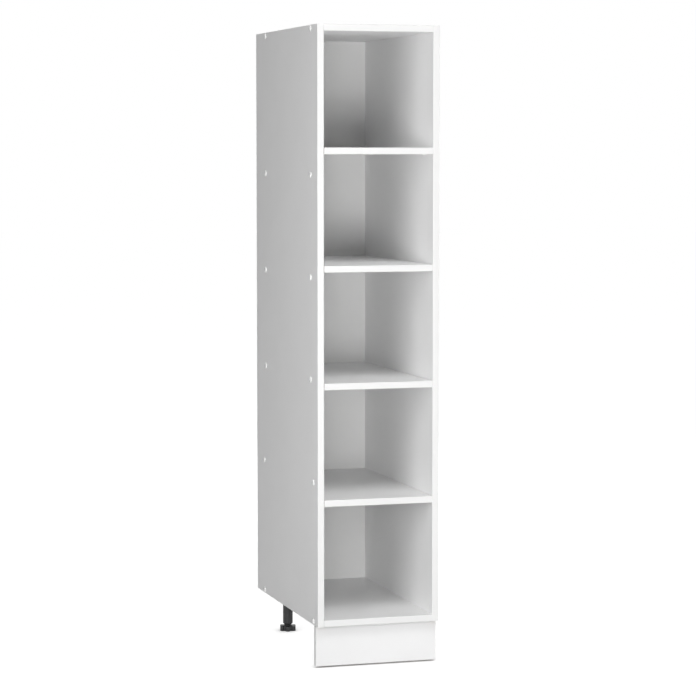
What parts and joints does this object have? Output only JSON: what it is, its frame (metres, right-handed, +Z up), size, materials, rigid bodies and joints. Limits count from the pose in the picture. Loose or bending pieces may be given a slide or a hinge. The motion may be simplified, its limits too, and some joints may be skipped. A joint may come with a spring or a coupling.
{
  "type": "open-front kitchen shelf unit",
  "caption": "Tall narrow open-front kitchen shelf unit of white boards with loose shelves, cover caps on its sides, a clip-on plinth and black adjustable screw legs.",
  "frame": {"origin": "on the floor, under the middle of the unit", "axes": "+Z up, +X to the right seen from the front, +Y from the open front to the back"},
  "size_m": [0.306, 0.56, 1.516],
  "materials": {
    "board_white": "satin white melamine on chipboard",
    "edge_band_white": "satin white plastic edging",
    "back_white": "satin white lacquered hardboard",
    "cap_white": "semi-gloss white plastic",
    "leg_black": "fine-textured black moulding",
    "screw_zinc": "bright zinc plate",
    "pin_white": "white moulded plastic"
  },
  "bodies": {
    "carcass": {"left_side_panel": "board_white", "right_side_panel": "board_white", "top_panel": "board_white", "bottom_panel": "board_white", "back_panel": "back_white", "left_side_edge_band": "edge_band_white", "right_side_edge_band": "edge_band_white", "top_edge_band": "edge_band_white", "bottom_edge_band": "edge_band_white", "carcass_screws": "screw_zinc", "screw_caps": "cap_white", "hole_plugs": "cap_white", "shelf_pins": "pin_white", "leg_screws": "screw_zinc", "leg_socket_front_left": "leg_black", "leg_tube_front_left": "leg_black", "leg_socket_front_right": "leg_black", "leg_tube_front_right": "leg_black", "leg_socket_rear_left": "leg_black", "leg_tube_rear_left": "leg_black", "leg_socket_rear_right": "leg_black", "leg_tube_rear_right": "leg_black"},
    "shelf_1": {"shelf_1": "board_white", "shelf_1_edge_band": "edge_band_white"},
    "shelf_2": {"shelf_2": "board_white", "shelf_2_edge_band": "edge_band_white"},
    "shelf_3": {"shelf_3": "board_white", "shelf_3_edge_band": "edge_band_white"},
    "shelf_4": {"shelf_4": "board_white", "shelf_4_edge_band": "edge_band_white"},
    "plinth": {"plinth_panel": "board_white", "plinth_end_band_left": "edge_band_white", "plinth_end_band_right": "edge_band_white", "plinth_clip_left": "leg_black", "plinth_clip_right": "leg_black", "plinth_clip_screws": "screw_zinc"},
    "foot_front_left": {"leg_foot_front_left": "leg_black"},
    "foot_front_right": {"leg_foot_front_right": "leg_black"},
    "foot_rear_left": {"leg_foot_rear_left": "leg_black"},
    "foot_rear_right": {"leg_foot_rear_right": "leg_black"}
  },
  "joints": [
    {"name": "shelf_1_slide", "type": "slide", "parent": "carcass", "child": "shelf_1", "axis": [0, -1, 0], "range_m": [0, 0.55]},
    {"name": "shelf_2_slide", "type": "slide", "parent": "carcass", "child": "shelf_2", "axis": [0, -1, 0], "range_m": [0, 0.55]},
    {"name": "shelf_3_slide", "type": "slide", "parent": "carcass", "child": "shelf_3", "axis": [0, -1, 0], "range_m": [0, 0.55]},
    {"name": "shelf_4_slide", "type": "slide", "parent": "carcass", "child": "shelf_4", "axis": [0, -1, 0], "range_m": [0, 0.55]},
    {"name": "plinth_pull", "type": "slide", "parent": "carcass", "child": "plinth", "axis": [0, -1, 0], "range_m": [0, 0.12]},
    {"name": "foot_front_left_screw", "type": "slide", "parent": "carcass", "child": "foot_front_left", "axis": [0, 0, -1], "range_m": [-0.005, 0.025]},
    {"name": "foot_front_right_screw", "type": "slide", "parent": "carcass", "child": "foot_front_right", "axis": [0, 0, -1], "range_m": [-0.005, 0.025]},
    {"name": "foot_rear_left_screw", "type": "slide", "parent": "carcass", "child": "foot_rear_left", "axis": [0, 0, -1], "range_m": [-0.005, 0.025]},
    {"name": "foot_rear_right_screw", "type": "slide", "parent": "carcass", "child": "foot_rear_right", "axis": [0, 0, -1], "range_m": [-0.005, 0.025]}
  ]
}
